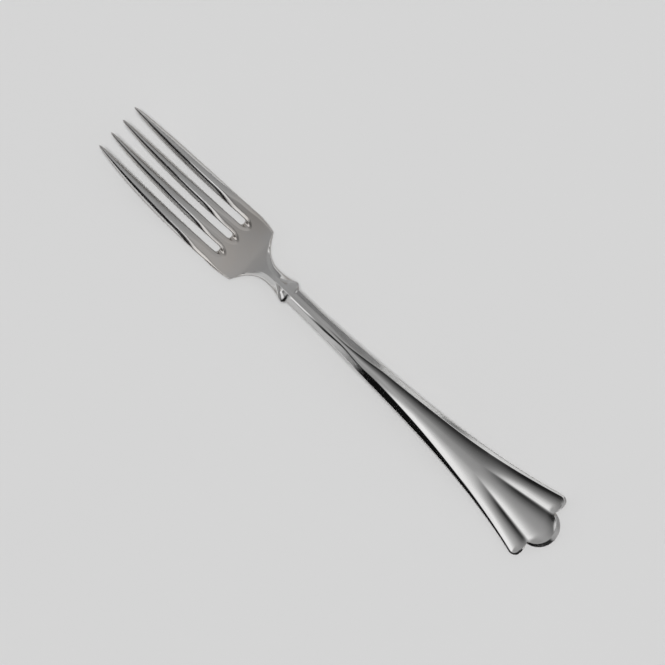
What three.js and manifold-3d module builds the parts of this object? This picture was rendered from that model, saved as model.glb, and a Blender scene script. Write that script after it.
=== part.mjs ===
// A dessert fork struck from one blank of silver, in millimetres.
// It lies on its back: +X runs from the tine tips to the fan, +Y to the eater's right and +Z up from the table.
// The forging is divided at plain cross sections into the regions that a silversmith names.

import * as THREE from "three";
import { mergeVertices } from "three/addons/utils/BufferGeometryUtils.js";
import Module from "manifold-3d";

const wasm = await Module();
wasm.setup();

// Lengths along the fork, in the order in which they follow each other
const TINE_LENGTH = 43.6; // tine tips to the slot ends
const PALM_LENGTH = 8.3; // slot ends to the corners of the heel
const HEEL_LENGTH = 9.3; // corners of the heel to the waist
const SPUR_LENGTH = 5.8; // waist to the spur tips
const SPUR_BACK = 1.4; // spur tips to where the plain stem begins
const STEM_LENGTH = 11.1; // plain stem up to the start of the hollow
const HOLLOW_LENGTH = 59.5; // start of the hollow to the start of the flutes
const FLUTE_LENGTH = 26; // start of the flutes to the notches between the lobes
const LOBE_LENGTH = 5; // notches to the end of the middle lobe

// Other places along the fork, counted from the ends of those lengths
const WIDEST_OFFSET = 1.7; // widest part of the head, past the slot ends
const BELLY_OFFSET = 2.9; // lowest point of the head, past the slot ends
const SCOOP_LENGTH = 2; // scooped end of each spur, before its tip
const FILL_LENGTH = 10; // over which the hollow reaches its depth, past its start
const CROWN_OFFSET = 12.5; // highest point of the handle, past the start of the hollow
const SLOPE_OFFSET = 13.5; // where the flanks begin to lie flatter, past the start of the hollow
const SLOPE_CHANGE = 12; // over which they do
const BEVEL_FADE = 18; // over which the stem's bevels run out, past the start of the hollow
const DEPTH_CHANGE = 21; // over which the hollow deepens, before the start of the flutes
const PARTING_LENGTH = 15.6; // over which the hollow parts into flutes
const REST_OFFSET = 9; // lowest point of the fan, before the notches
const CORNER_LENGTH = 2.4; // rounded corner of each side lobe, before the notches
const END_WALL = 3.3; // over which a flute rises to the rim at its end
const RAMP_LENGTH = 1.9; // sloped end of each slot, seen from above

// Widths across the fork
const TIP_PITCH = 4.85; // spacing of the tine tips
const TIP_SHIFT = 1; // how far the tips stand to the right of the middle line
const TIP_WIDTH = 0.4; // tine at its tip
const FRONT_WIDTH = 17.2; // head at the tips, if its sides ran straight on
const SLOT_PITCH = 5.26; // spacing of the slots between the tines
const SLOT_WIDTH = 1.95; // slot width where the tines meet the palm
const PALM_WIDTH = 20.2; // widest part of the head
const HEEL_WIDTH = 18.5; // between the corners of the heel
const WAIST_WIDTH = 5.28; // narrowest part of the neck
const WAIST_FACET = 1.2; // flat top of the waist
const SPUR_WIDTH = 7.24; // over the tips of the spurs
const STEM_WIDTH = 5.16; // plain stem
const CREST_WIDTH = 1; // flat top of the stem's ridge
const FLARE_WIDTH = 23.44; // fan at the notches, before its corners are rounded
const CORNER_DROP = 1.95; // how far each rounded corner is drawn in there
const LOBE_RADIUS = 6.1; // middle lobe
const EDGE_BEVEL = 0.45; // softened edge round the head
const RIM_FLANK = 0.45; // outer flank of the rim along the fan's sides
const NOTCH_FLANK = 0.8; // outer flank of the rim beside the notches
const SIDE_END_FLANK = 0.9; // outer flank of the rim at the ends of the side lobes
const END_FLANK = 1.5; // outer flank of the rim at the end of the middle lobe
const SIDE_BULGE = 0.25; // how far the end of each side lobe swells

// Thicknesses and depths
const TIP_THICKNESS = 0.5; // tine at its tip
const PLATE_THICKNESS = 1.9; // palm and tine roots
const STEM_THICKNESS = 4; // crest to back of the stem
const FAN_THICKNESS = 1.85; // rim to back at the fan's end
const PALM_DISH = 0.55; // shallow dish of the palm
const SPUR_DROP = 1.6; // fall of each spur's top from the crest to its tip
const HOLLOW_DEPTH = 0.75; // shank's hollow below its rims
const FAN_DEPTH = 1.05; // middle flute below the rims
const SIDE_FLUTE_DEPTH = 0.76; // side flutes below the ridges
const RIDGE_DROP = 0.4; // ridges below the rims, where the flutes begin
const RIDGE_END_DROP = 0.15; // ridges below the rims, at their ends

// Side view: heights of the underside above the table
const TIP_RISE = 10.5;
const CROWN_RISE = 8; // highest point of the handle
const END_RISE = 0.4; // upturned end of the fan
const WEAR = 0.06; // depth of the two flats worn where the fork touches the table

// Slopes, as rise over run
const STEM_FLANK_SLOPE = 0.95;
const BEVEL_SLOPE = 0.42; // narrow bevel beside the stem's crest
const FAN_FLANK_SLOPE = 0.8;
const HOLLOW_STEEPNESS = 0.27; // limit of the hollow's depth over half its width
const DOME_STEEPNESS = 1.1; // height of a tine's domed top over half its width

// Curve shapes, as powers and shares
const HEEL_POWER = 2.7; // how hollow the curve from the heel to the waist is
const SPUR_POWER = 1.8; // how late the spurs flare
const FLARE_POWER = 3.2; // how late the fan flares
const FLARE_SHARE = 0.7; // share of the widening that comes from that late flare
const FLANK_POWER = 1.2; // how late the outer flanks narrow
const PARABOLA = 2; // power of a plain parabola
const CHANNEL_POWER = 2.4; // cross section of the shank's hollow
const FLUTE_POWER = 3.3; // cross section of the middle flute at its end
const SIDE_POWER = 2.6; // cross section of the side flutes at their ends
const WALL_POWER = 2.4; // how late a flute rises to the rim at its end
const STEM_BACK = 2.2; // roundness of the stem's back: 2 is an ellipse
const FLAT_BACK = 6; // roundness of the palm's and fan's backs
const TIP_POWER = 2.2; // how late each tine turns in to its tip
const TIP_SWING = 2.4; // how far the tines sway back before they turn aside
const TAPER_START = 0.75; // first power of the tine's taper
const TAPER_END = 2.4; // second power of the tine's taper
const THIN_SHARE = 0.5; // share of a tine that is thinner than the palm
const DOME_POWER = 1.7; // cross section of a tine's domed top
const DOME_LIMIT = 0.82; // limit of the dome's height, as a share of the thickness
const DOME_END = 0.83; // share of a tine after which the dome flattens
const DOME_FADE = 0.1; // share of a tine over which it flattens
const PLATE_PARTING = 0.3; // widest line of a tine's root, as a share of its thickness
const EDGE_PARTING = 0.35; // foot of the fan's edge, as a share of the edge's height
const RIDGE_SHARE = 0.25; // where the ridges begin, as a share of half the hollow's width
const SCOOP_FOOT = 0.52; // foot of a spur's scooped end, as a share of the spur's half width
const SCOOP_EDGE = 0.965; // rear edge of a spur's top, as a share of the same
const SCOOP_RATE = 1.6; // how soon the scoop opens
const LAST_TURN = 1.45; // turn of the middle lobe's edge from its end to a notch, in radians
const CORNER_TURN = 1.3; // turn of the edge round the corner of a side lobe, in radians

// Stations along the fork, counted from the tine tips
const slotEnd = TINE_LENGTH;
const root = slotEnd - SLOT_WIDTH / 2;
const corner = slotEnd + PALM_LENGTH;
const waist = corner + HEEL_LENGTH;
const spurTip = waist + SPUR_LENGTH;
const scoop = spurTip - SCOOP_LENGTH;
const stemStart = spurTip + SPUR_BACK;
const hollow = stemStart + STEM_LENGTH;
const flutes = hollow + HOLLOW_LENGTH;
const notch = flutes + FLUTE_LENGTH;
const end = notch + LOBE_LENGTH;
const widest = slotEnd + WIDEST_OFFSET;
const belly = slotEnd + BELLY_OFFSET;
const crown = hollow + CROWN_OFFSET;
const rest = notch - REST_OFFSET;
const lobeCentre = end - LOBE_RADIUS;

const lerp = THREE.MathUtils.lerp;
const clamp = THREE.MathUtils.clamp;
const smooth = (t) => THREE.MathUtils.smoothstep(t, 0, 1);
const smoother = (t) => THREE.MathUtils.smootherstep(t, 0, 1);

// Height of the underside's middle line above the table, before the flats are worn.
function keel(x) {
  if (x < belly) return TIP_RISE * ((belly - x) / belly) ** 2;
  if (x < crown) return CROWN_RISE * smooth((x - belly) / (crown - belly));
  if (x < rest) return CROWN_RISE * smooth((rest - x) / (rest - crown));
  return END_RISE * ((x - rest) / (end - rest)) ** 2;
}

// Depth of the palm's dish, which runs out along the tines and towards the waist.
function dish(x, y) {
  const run = smooth(x / root) * smoother((waist - x) / (waist - root));
  return PALM_DISH * run * Math.max(0, 1 - (y / (PALM_WIDTH / 2)) ** 2);
}

// Share of the way from the start of the hollow to the notches.
const fanShare = (x) => clamp((x - hollow) / (notch - hollow), 0, 1);

// Half the head's width at its outer edge, from the tips to the heel's corners.
function headEdge(x) {
  if (x < widest) return lerp(FRONT_WIDTH, PALM_WIDTH, x / widest) / 2;
  const t = (x - widest) / (corner - widest);
  return lerp(PALM_WIDTH, HEEL_WIDTH, t * t) / 2;
}

// Half the width of the outline.
function outline(x) {
  if (x < corner) return headEdge(x);
  if (x < waist) {
    const t = (waist - x) / HEEL_LENGTH;
    return lerp(WAIST_WIDTH, HEEL_WIDTH, t ** HEEL_POWER) / 2;
  }
  if (x < spurTip) {
    const t = (x - waist) / SPUR_LENGTH;
    return lerp(WAIST_WIDTH, SPUR_WIDTH, t ** SPUR_POWER) / 2;
  }
  if (x < stemStart) return lerp(SPUR_WIDTH, STEM_WIDTH, (x - spurTip) / SPUR_BACK) / 2;
  const t = fanShare(x);
  const share = lerp(t, t ** FLARE_POWER, FLARE_SHARE);
  const round = Math.max(0, 1 - (notch - x) / CORNER_LENGTH);
  return lerp(STEM_WIDTH, FLARE_WIDTH, share) / 2 - CORNER_DROP * round ** 2;
}

// Half the width of the top facet that the flanks fall away from, up to the spur tips.
function facet(x) {
  if (x < corner) return headEdge(x) - EDGE_BEVEL;
  const t = (waist - x) / HEEL_LENGTH;
  if (x < waist) return lerp(WAIST_FACET / 2, HEEL_WIDTH / 2 - EDGE_BEVEL, t ** HEEL_POWER);
  return lerp(WAIST_FACET, SPUR_WIDTH, smooth((x - waist) / SPUR_LENGTH)) / 2;
}

// Width of the handle's outer flank, seen from above.
const stemFlank = (STEM_WIDTH - CREST_WIDTH) / 2;
const flankRun = (x) => lerp(stemFlank, RIM_FLANK, fanShare(x) ** FLANK_POWER);

// Half the width between the handle's two crests: the ridge's flat top, then the rims of the hollow.
function crest(x) {
  if (x < waist) return (facet(x) * CREST_WIDTH) / WAIST_FACET;
  if (x < stemStart) return CREST_WIDTH / 2;
  return outline(x) - flankRun(x);
}

// How far the flank lies below the crest at a distance from it: the bevel takes the first step of the flank.
const FLANK_STEPS = 4;
function flankDrop(x, away, run) {
  const low = lerp(STEM_FLANK_SLOPE, FAN_FLANK_SLOPE, smooth((x - hollow - SLOPE_OFFSET) / SLOPE_CHANGE));
  const bevel = lerp(BEVEL_SLOPE, low, smooth((x - hollow) / BEVEL_FADE));
  const width = run / FLANK_STEPS;
  return bevel * Math.min(away, width) + low * Math.max(0, away - width);
}

// Height of the flanks, from the outline up to the top.
const stemRise = flankDrop(stemStart, stemFlank, stemFlank);
function flankRise(x) {
  const plate = PLATE_THICKNESS / 2;
  if (x < corner) return plate;
  if (x < waist) return lerp(stemRise, plate, smoother((waist - x) / HEEL_LENGTH));
  if (x < hollow) return stemRise;
  return flankDrop(x, flankRun(x), flankRun(x));
}

// Height of the outline above the underside's middle line.
function edgeRise(x) {
  const plate = PLATE_THICKNESS / 2;
  const stem = STEM_THICKNESS - stemRise;
  const fan = FAN_THICKNESS - RIM_FLANK * FAN_FLANK_SLOPE;
  if (x < corner) return plate;
  if (x < waist) return lerp(stem, plate, smoother((waist - x) / HEEL_LENGTH));
  return lerp(stem, fan, smooth(fanShare(x)));
}

// Height of the back at a distance y from the middle: a flattened ellipse, worn flat where it touches the table.
function back(x, y, half, rise, power) {
  const share = Math.min(Math.abs(y) / half, 1);
  const bow = rise * (1 - (1 - share ** power) ** (1 / power));
  return Math.max(0, keel(x) + bow - WEAR);
}

// Roundness of the back along the fork: flat under the head and fan, round under the stem.
function backPower(x) {
  if (x < waist) return lerp(FLAT_BACK, STEM_BACK, smooth((x - corner) / HEEL_LENGTH));
  return lerp(STEM_BACK, FLAT_BACK, smooth(fanShare(x)));
}

// Half the spacing of the two ridges between the flutes.
const ridgeStart = crest(flutes) * RIDGE_SHARE;
const ridgeEnd = (LOBE_RADIUS - NOTCH_FLANK) * Math.sin(LAST_TURN);
function ridge(x) {
  if (x < flutes) return crest(x) * RIDGE_SHARE;
  return lerp(ridgeStart, ridgeEnd, Math.min(1, (x - flutes) / FLUTE_LENGTH));
}

// Depth of the hollow below the rims at a distance y from the middle.
function hollowDepth(x, y) {
  const c = crest(x);
  const r = ridge(x);
  const full = lerp(HOLLOW_DEPTH, FAN_DEPTH, smooth(1 - (flutes - x) / DEPTH_CHANGE));
  const middle = Math.min(full, HOLLOW_STEEPNESS * c) * smooth((x - hollow) / FILL_LENGTH);
  const channel = middle * (1 - (y / c) ** CHANNEL_POWER);
  const parted = smooth((x - flutes) / PARTING_LENGTH);
  if (parted === 0) return channel;
  const late = smooth((x - flutes) / FLUTE_LENGTH);
  const drop = lerp(RIDGE_DROP, RIDGE_END_DROP, late);
  let fluted = drop + (middle - drop) * (1 - (y / r) ** lerp(PARABOLA, FLUTE_POWER, late));
  if (y > r) {
    const across = (y - r) / (c - r);
    const bow = 1 - Math.abs(2 * across - 1) ** lerp(PARABOLA, SIDE_POWER, late);
    fluted = drop * (1 - across) + SIDE_FLUTE_DEPTH * bow;
  }
  return lerp(channel, fluted, parted);
}

// One half of a section is a chain of points from the middle of the top out to the outline:
// the middle flute, the ridge, the side flute, the crest, the points on the flank, the outline.
const FLUTE_STEPS = 6;
const crestAt = 2 * FLUTE_STEPS;
const outlineAt = crestAt + FLANK_STEPS;
const lobeTurn = (j) => (j / FLUTE_STEPS) * LAST_TURN;

// Distance from the middle of each point of the chain.
function chainAcross(x, j) {
  const r = ridge(x);
  const c = crest(x);
  if (j <= FLUTE_STEPS) return (r * Math.sin(lobeTurn(j))) / Math.sin(LAST_TURN);
  if (j <= crestAt) return lerp(r, c, (j - FLUTE_STEPS) / FLUTE_STEPS);
  if (x < waist && j < outlineAt) return lerp(c, facet(x), (j - crestAt) / (FLANK_STEPS - 1));
  if (x < stemStart && j < outlineAt) return spurAcross(x, j - crestAt);
  return lerp(c, outline(x), (j - crestAt) / FLANK_STEPS);
}

// The three lines of a spur: the foot of its scooped end, the rear edge of its top and its outer edge.
function spurAcross(x, line) {
  const c = crest(x);
  const share = line / (FLANK_STEPS - 1);
  const edge = facet(Math.min(x, spurTip));
  if (x < scoop) return lerp(c, edge, share);
  const along = Math.min(1, (x - scoop) / SCOOP_LENGTH);
  const shares = [SCOOP_FOOT, SCOOP_EDGE, 1];
  const top = line === shares.length ? edge : lerp(lerp(c, facet(scoop), share), shares[line - 1] * edge, along);
  const gone = clamp((x - spurTip) / SPUR_BACK, 0, 1);
  return lerp(top, lerp(c, outline(x), line / FLANK_STEPS), gone);
}

// Height of each point of the chain above the table.
function chainHeight(x, j) {
  const y = chainAcross(x, j);
  const c = crest(x);
  const top = keel(x) + edgeRise(x) + flankRise(x);
  if (j <= crestAt) return top - dish(x, y) - (x < hollow ? 0 : hollowDepth(x, y));
  if (j === outlineAt) return keel(x) + edgeRise(x);
  if (x < waist) return top - dish(x, y);
  const run = x < stemStart ? STEM_WIDTH / 2 - c : outline(x) - c;
  const onFlank = top - flankDrop(x, clamp(y - c, 0, run), run);
  if (x >= stemStart) return onFlank;
  const spurTop = top - SPUR_DROP * clamp((x - waist) / SPUR_LENGTH, 0, 1) ** 2;
  const gone = clamp((x - spurTip) / SPUR_BACK, 0, 1);
  const opened = smooth(((x - scoop) / SCOOP_LENGTH) * SCOOP_RATE);
  return lerp(spurTop, onFlank, j === crestAt + 1 ? opened : gone);
}

// A closed section at station x: its top from left to right, and the back below each point but the two outermost.
function bodySection(x) {
  const top = [];
  const under = [];
  for (let i = -outlineAt; i <= outlineAt; i++) {
    const j = Math.abs(i);
    const y = Math.sign(i) * chainAcross(x, j);
    top.push(new THREE.Vector3(x, y, chainHeight(x, j)));
    if (j < outlineAt) under.push(new THREE.Vector3(x, y, back(x, y, outline(x), edgeRise(x), backPower(x))));
  }
  return { top, under };
}

// Where each column of the fan ends on the crest of the rim.
const ridgeEndAt = lobeCentre + (LOBE_RADIUS - END_FLANK) * Math.cos(LAST_TURN);
function crestEnd(j) {
  if (j <= FLUTE_STEPS) return lobeCentre + (LOBE_RADIUS - END_FLANK) * Math.cos(lobeTurn(j));
  const across = Math.min(1, (j - FLUTE_STEPS) / FLUTE_STEPS);
  return ridgeEndAt + SIDE_BULGE * 4 * across * (1 - across);
}

// Where it ends on the outline: round the middle lobe, along the side lobe, then round the corner.
const notchAt = new THREE.Vector2(Math.cos(LAST_TURN), Math.sin(LAST_TURN)).multiplyScalar(LOBE_RADIUS);
function outlineEnd(j) {
  if (j <= FLUTE_STEPS) {
    const turn = lobeTurn(j);
    return new THREE.Vector2(lobeCentre + LOBE_RADIUS * Math.cos(turn), LOBE_RADIUS * Math.sin(turn));
  }
  const c = crest(notch);
  if (j <= crestAt) {
    const across = (j - FLUTE_STEPS) / FLUTE_STEPS;
    const straight = lerp(lobeCentre + notchAt.x, ridgeEndAt + SIDE_END_FLANK, across);
    return new THREE.Vector2(straight + crestEnd(j) - ridgeEndAt, lerp(notchAt.y, c, across));
  }
  const turn = ((j - crestAt) / FLANK_STEPS) * CORNER_TURN;
  const aside = (outline(notch) - c) * Math.sin(turn);
  return new THREE.Vector2(ridgeEndAt + SIDE_END_FLANK * Math.cos(turn), c + aside);
}

// A section of the fan: its columns run from the start of the flutes to their own place on the scalloped end.
function fanSection(share) {
  const top = [];
  const under = [];
  for (let i = -outlineAt; i <= outlineAt; i++) {
    const j = Math.abs(i);
    const last = crestEnd(j);
    const x = lerp(flutes, last, share);
    const station = Math.min(x, notch);
    const y = chainAcross(station, j);
    const wall = clamp(1 - (last - x) / END_WALL, 0, 1) ** WALL_POWER;
    const lift = keel(x) - keel(station);
    const rim = chainHeight(station, Math.max(j, crestAt));
    const z = lift + (j < crestAt ? lerp(chainHeight(station, j), rim, wall) : rim);
    top.push(new THREE.Vector3(x, Math.sign(i) * y, z));
    if (j === outlineAt) continue;
    const low = back(x, y, outline(station), edgeRise(station), FLAT_BACK);
    under.push(new THREE.Vector3(x, Math.sign(i) * y, low));
  }
  return { top, under };
}

// The fan's outermost ring, on the scalloped outline: the flank falls to it from the crest.
function fanEdge() {
  const top = [];
  const under = [];
  for (let i = -outlineAt; i <= outlineAt; i++) {
    const j = Math.abs(i);
    const place = outlineEnd(j);
    const inner = new THREE.Vector2(crestEnd(j), chainAcross(notch, Math.min(j, crestAt)));
    const rise = FAN_THICKNESS - FAN_FLANK_SLOPE * place.distanceTo(inner);
    const y = Math.sign(i) * place.y;
    top.push(new THREE.Vector3(place.x, y, keel(place.x) + rise));
    if (j < outlineAt) under.push(new THREE.Vector3(place.x, y, keel(place.x) + EDGE_PARTING * rise));
  }
  return { top, under };
}

// A closed skin over a row of sections, with both ends filled between the top and the back.
function skin(sections) {
  const positions = [];
  const indices = [];
  const across = sections[0].top.length;
  const ring = 2 * across - 2;
  for (const { top, under } of sections) {
    for (const point of [...top, ...under.toReversed()]) positions.push(point.x - end / 2, point.y, point.z);
  }
  const quad = (a, b, c, d) => indices.push(a, b, c, a, c, d);
  for (let s = 0; s + 1 < sections.length; s++) {
    for (let k = 0; k < ring; k++) {
      const next = (k + 1) % ring;
      quad(s * ring + k, (s + 1) * ring + k, (s + 1) * ring + next, s * ring + next);
    }
  }
  const fill = (first, flip) => {
    const below = (k) => first + (k === 0 || k === across - 1 ? k : ring - k);
    for (let k = 0; k + 1 < across; k++) {
      const corners = [first + k, first + k + 1, below(k + 1), below(k)];
      const loop = corners.filter((corner, n) => corners.indexOf(corner) === n);
      if (flip) loop.reverse();
      for (let n = 1; n + 1 < loop.length; n++) indices.push(loop[0], loop[n], loop[n + 1]);
    }
  };
  fill(0, false);
  fill((sections.length - 1) * ring, true);
  const geometry = new THREE.BufferGeometry();
  geometry.setAttribute("position", new THREE.Float32BufferAttribute(positions, 3));
  geometry.setIndex(indices);
  return geometry;
}

// Stations evenly spaced from one place to another.
function stations(from, to, count) {
  return Array.from({ length: count + 1 }, (_, n) => lerp(from, to, n / count));
}

// Height of a tine's dome, as a share of its thickness.
const domeHeight = (half, thick) => Math.min(DOME_LIMIT, (DOME_STEEPNESS * half) / thick);

// A section of a tine about its own line: a domed top that flattens into the plate at the root, over a round back.
const TINE_STEPS = 4;
function tineSection(x, line, half) {
  const along = x / root;
  const thick = lerp(TIP_THICKNESS, PLATE_THICKNESS, Math.sqrt(Math.min(1, along / THIN_SHARE)));
  const flat = smooth((along - DOME_END) / DOME_FADE);
  const dome = domeHeight(half, thick);
  const top = [];
  const under = [];
  for (let k = -TINE_STEPS; k <= TINE_STEPS; k++) {
    const across = Math.sin((k / TINE_STEPS) * (Math.PI / 2));
    const y = line + half * across;
    const full = thick - dish(x, y);
    const edge = Math.abs(k) === TINE_STEPS;
    const domed = lerp(1 - dome * Math.abs(across) ** DOME_POWER, edge ? PLATE_PARTING : 1, flat);
    top.push(new THREE.Vector3(x, y, keel(x) + full * domed));
    if (edge) continue;
    const round = lerp((1 - dome) * (1 - Math.sqrt(1 - across ** 2)), 0, flat);
    under.push(new THREE.Vector3(x, y, Math.max(0, keel(x) + full * round - WEAR)));
  }
  return { top, under };
}

// A tine: side is -1 or 1, and outer says whether it is the outer one of its pair.
const TINE_ROWS = 22;
const ROW_POWER = 1.4; // how much closer the rows lie towards the tip
function tine(side, outer) {
  const inside = outer ? SLOT_PITCH + SLOT_WIDTH / 2 : SLOT_WIDTH / 2;
  const outside = outer ? headEdge(root) : SLOT_PITCH - SLOT_WIDTH / 2;
  const tipLine = outer ? TIP_PITCH + TIP_PITCH / 2 : TIP_PITCH / 2;
  const sections = stations(0, 1, TINE_ROWS).map((share) => {
    const along = share ** ROW_POWER;
    const half = lerp(TIP_WIDTH, outside - inside, 1 - (1 - along ** TAPER_START) ** TAPER_END) / 2;
    const line = side * lerp((inside + outside) / 2, tipLine, (1 - along) ** TIP_POWER);
    const aside = TIP_SHIFT * (1 - along) * (1 - TIP_SWING * along);
    return tineSection(root * along, line + aside, half);
  });
  return skin(sections);
}

// Booleans work on solids whose shared vertices are merged.
function solid(geometry) {
  const plain = geometry.clone();
  plain.deleteAttribute("normal");
  plain.deleteAttribute("uv");
  const merged = mergeVertices(plain);
  const vertProperties = new Float32Array(merged.attributes.position.array);
  const triVerts = new Uint32Array(merged.index.array);
  return new wasm.Manifold(new wasm.Mesh({ numProp: 3, vertProperties, triVerts }));
}

function surface(body) {
  const mesh = body.getMesh();
  const geometry = new THREE.BufferGeometry();
  geometry.setAttribute("position", new THREE.Float32BufferAttribute(mesh.vertProperties, 3));
  geometry.setIndex(new THREE.Uint32BufferAttribute(mesh.triVerts, 1));
  return geometry;
}

// The end of one slot: a round-ended cut whose end slopes towards the heel as it rises.
const CUT_REACH = 6; // how far the cut runs past the plate on every open side
const CUT_SEGMENTS = 8;
function slotCut(y) {
  const half = SLOT_WIDTH / 2;
  const middle = root - end / 2;
  const open = middle - 2 * CUT_REACH;
  const shape = new THREE.Shape();
  shape.moveTo(open, y - half);
  shape.lineTo(middle, y - half);
  shape.absarc(middle, y, half, -Math.PI / 2, Math.PI / 2, false);
  shape.lineTo(open, y + half);
  shape.closePath();
  const depth = 2 * CUT_REACH;
  const cut = new THREE.ExtrudeGeometry(shape, { depth, bevelEnabled: false, curveSegments: CUT_SEGMENTS });
  cut.translate(0, 0, -CUT_REACH);
  const lean = RAMP_LENGTH / PLATE_THICKNESS;
  return cut.applyMatrix4(new THREE.Matrix4().set(1, 0, lean, 0, 0, 1, 0, 0, 0, 0, 1, 0, 0, 0, 0, 1));
}

// Half the length of a worn flat, on the parabola that the S curve to the crown starts and ends with.
const wornHalf = (span) => span * Math.sqrt(WEAR / (3 * CROWN_RISE));

// The palm, from the tine roots to the corners of the heel, with the three slot ends cut into it.
function palm() {
  const flatFront = belly - belly * Math.sqrt(WEAR / TIP_RISE);
  const flatRear = belly + wornHalf(crown - belly);
  const rows = [root, ...stations(flatFront, flatRear, 4), ...stations(flatRear, corner, 4).slice(1)];
  const blank = solid(skin(rows.map(bodySection)));
  const cuts = [-SLOT_PITCH, 0, SLOT_PITCH].map((y) => solid(slotCut(y)));
  return surface(cuts.reduce((left, cut) => left.subtract(cut), blank));
}

// The neck: the hollow curve of the heel, the waist, then the two spurs with their scooped ends.
function neck() {
  const rows = [
    ...stations(corner, waist, 12),
    ...stations(waist, scoop, 6).slice(1),
    ...stations(scoop, spurTip, 6).slice(1),
    ...stations(spurTip, stemStart, 2).slice(1),
  ];
  return skin(rows.map(bodySection));
}

// The plain ridged stem.
function stem() {
  return skin(stations(stemStart, hollow, 5).map(bodySection));
}

// The shank whose face is hollowed between two rims that part from the stem's ridge.
function hollowShank() {
  return skin(stations(hollow, flutes, 28).map(bodySection));
}

// The fan: three flutes between the rims, ending in three lobes.
function fanEnd() {
  const flatFront = rest - wornHalf(rest - crown);
  const flatRear = rest + (end - rest) * Math.sqrt(WEAR / END_RISE);
  const share = (x) => (x - flutes) / (ridgeEndAt - flutes);
  const rows = [
    ...stations(0, share(flatFront), 6),
    ...stations(share(flatFront), share(flatRear), 4).slice(1),
    ...stations(share(flatRear), 1, 6).slice(1),
  ];
  return skin([...rows.map(fanSection), fanEdge()]);
}

// A named region of the forging, in polished silver.
function region(name, geometry) {
  const silver = new THREE.MeshStandardMaterial({ color: 0xd9d6cf, roughness: 0.18, metalness: 1 });
  geometry.computeVertexNormals();
  const mesh = new THREE.Mesh(geometry, silver);
  mesh.name = name;
  return mesh;
}

const fork = new THREE.Group();
fork.add(region("outer_left_tine", tine(-1, true)));
fork.add(region("inner_left_tine", tine(-1, false)));
fork.add(region("inner_right_tine", tine(1, false)));
fork.add(region("outer_right_tine", tine(1, true)));
fork.add(region("palm", palm()));
fork.add(region("neck", neck()));
fork.add(region("stem", stem()));
fork.add(region("hollow_shank", hollowShank()));
fork.add(region("fan_end", fanEnd()));

export default fork;
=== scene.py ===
"""A silver dessert fork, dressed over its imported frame.

The whole forging is worked out as one skin of numpy grids in millimetres, counted along the fork from the
tine tips, and then divided at plain sections into the nine regions of the frame.
"""

import bpy
import numpy as np
from mathutils import Matrix, Vector


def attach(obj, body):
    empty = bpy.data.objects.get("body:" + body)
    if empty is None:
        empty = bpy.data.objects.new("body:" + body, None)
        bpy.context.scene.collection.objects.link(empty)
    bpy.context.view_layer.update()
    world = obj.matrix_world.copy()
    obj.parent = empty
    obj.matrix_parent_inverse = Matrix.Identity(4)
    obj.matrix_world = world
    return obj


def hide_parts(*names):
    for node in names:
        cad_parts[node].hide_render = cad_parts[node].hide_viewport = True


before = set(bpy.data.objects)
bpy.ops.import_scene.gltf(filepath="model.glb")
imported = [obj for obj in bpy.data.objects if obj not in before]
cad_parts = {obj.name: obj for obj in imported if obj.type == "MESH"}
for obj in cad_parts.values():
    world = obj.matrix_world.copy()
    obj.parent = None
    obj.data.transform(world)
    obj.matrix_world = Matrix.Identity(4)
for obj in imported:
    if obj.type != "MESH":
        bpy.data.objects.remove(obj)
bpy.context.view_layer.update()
scene = bpy.context.scene

# Stations along the fork, from the tine tips
ROOT = 42.6  # tines end, at the centres of the slots' round ends
WIDEST = 45.3
BELLY = 46.5  # lowest point of the head
CORNER = 51.9  # corners of the heel
WAIST = 61.2
SCOOP = 65.0  # inner ends of the spurs' scooped faces
SPUR_TIP = 67.0
STEM = 68.4
HOLLOW = 79.5
RIMS_PART = 88.0  # the hollow's rims return to their plain course
CROWN = 92.0  # highest point of the handle
FLATTER = 93.0  # the flanks begin to lie flatter
ASIDE = 94.0  # the crests begin to stand aside
FULLER = 100.0  # the hollow's cross section begins to fill out
DEEPER = 118.0  # the hollow begins to deepen
FLUTES = 139.0
REST = 156.0  # lowest point of the fan
CORNER_START = 162.6  # rounded corners of the side lobes
LOBE_CENTRE = 163.9
RIDGE_STOP = 164.5
NOTCH = 165.0
END = 170.0

# Lengths along the fork over which one form passes into the next
NOSE = 0.5  # rounded tip of a tine
EDGE_STRAIGHTENS = 2.0  # the head's round edge, into the heel's straight flank
SOFTNESS_GROWS = 3.0  # the rounding of all edges behind the heel's corners
SCOOP_LEAD = 0.8  # the scooped faces sink from this far before their ends
SCOOP_SINKS = 1.2
HOLLOW_FILLS = 10.0
RIMS_WAIT = 9.0
BEVEL_FADES = 18.0
FLANKS_FLATTEN = 12.0
CRESTS_LEAVE = 9.0
CRESTS_RETURN = 25.0
HOLLOW_FILLS_OUT = 20.0
FLUTES_PART = 15.6
END_WALL = (4.2, 2.4)  # at the end of the middle flute, and of the side flutes
RAMP = 2.6  # sloped end of each slot

# Widths across the fork, half ones from the middle line
TIP_LINES = np.array([-7.28, -2.43, 2.43, 7.28])
SLOT_LINES = np.array([-5.26, 0.0, 5.26])
SLOT_HALF = 0.975
TIP_HALF = 0.2
TIP_EDGE = 8.59
TIP_SKEW = 1.0  # the tips stand this far to the right of the middle line
PALM_HALF = 10.1
HEEL_HALF = 9.25
WAIST_HALF = 2.64
WAIST_FACET = 0.6
SPUR_HALF = 3.62
STEM_HALF = 2.58
CREST_HALF = 0.5
FAN_HALF = 11.72
RIDGE_END = 5.36  # half spacing of the ridges at their ends
LOBE_OUTLINE = 6.1  # radius of the middle lobe
LOBE_CREST = (4.6, 5.3)  # half axes of its crest, along and across
CORNER_ROUND = 1.4  # radius of the crest round the corner of a side lobe
RIM_FLANK = 0.45
SIDE_END_FLANK = 0.9
SIDE_BULGE = 0.25  # swelling of a side lobe's end
LATE_OPENING = 0.4  # extra width of the flanks where the hollow begins
CREST_SHIFT = 0.4  # the shank's crests stand this far to the right of its middle
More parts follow.
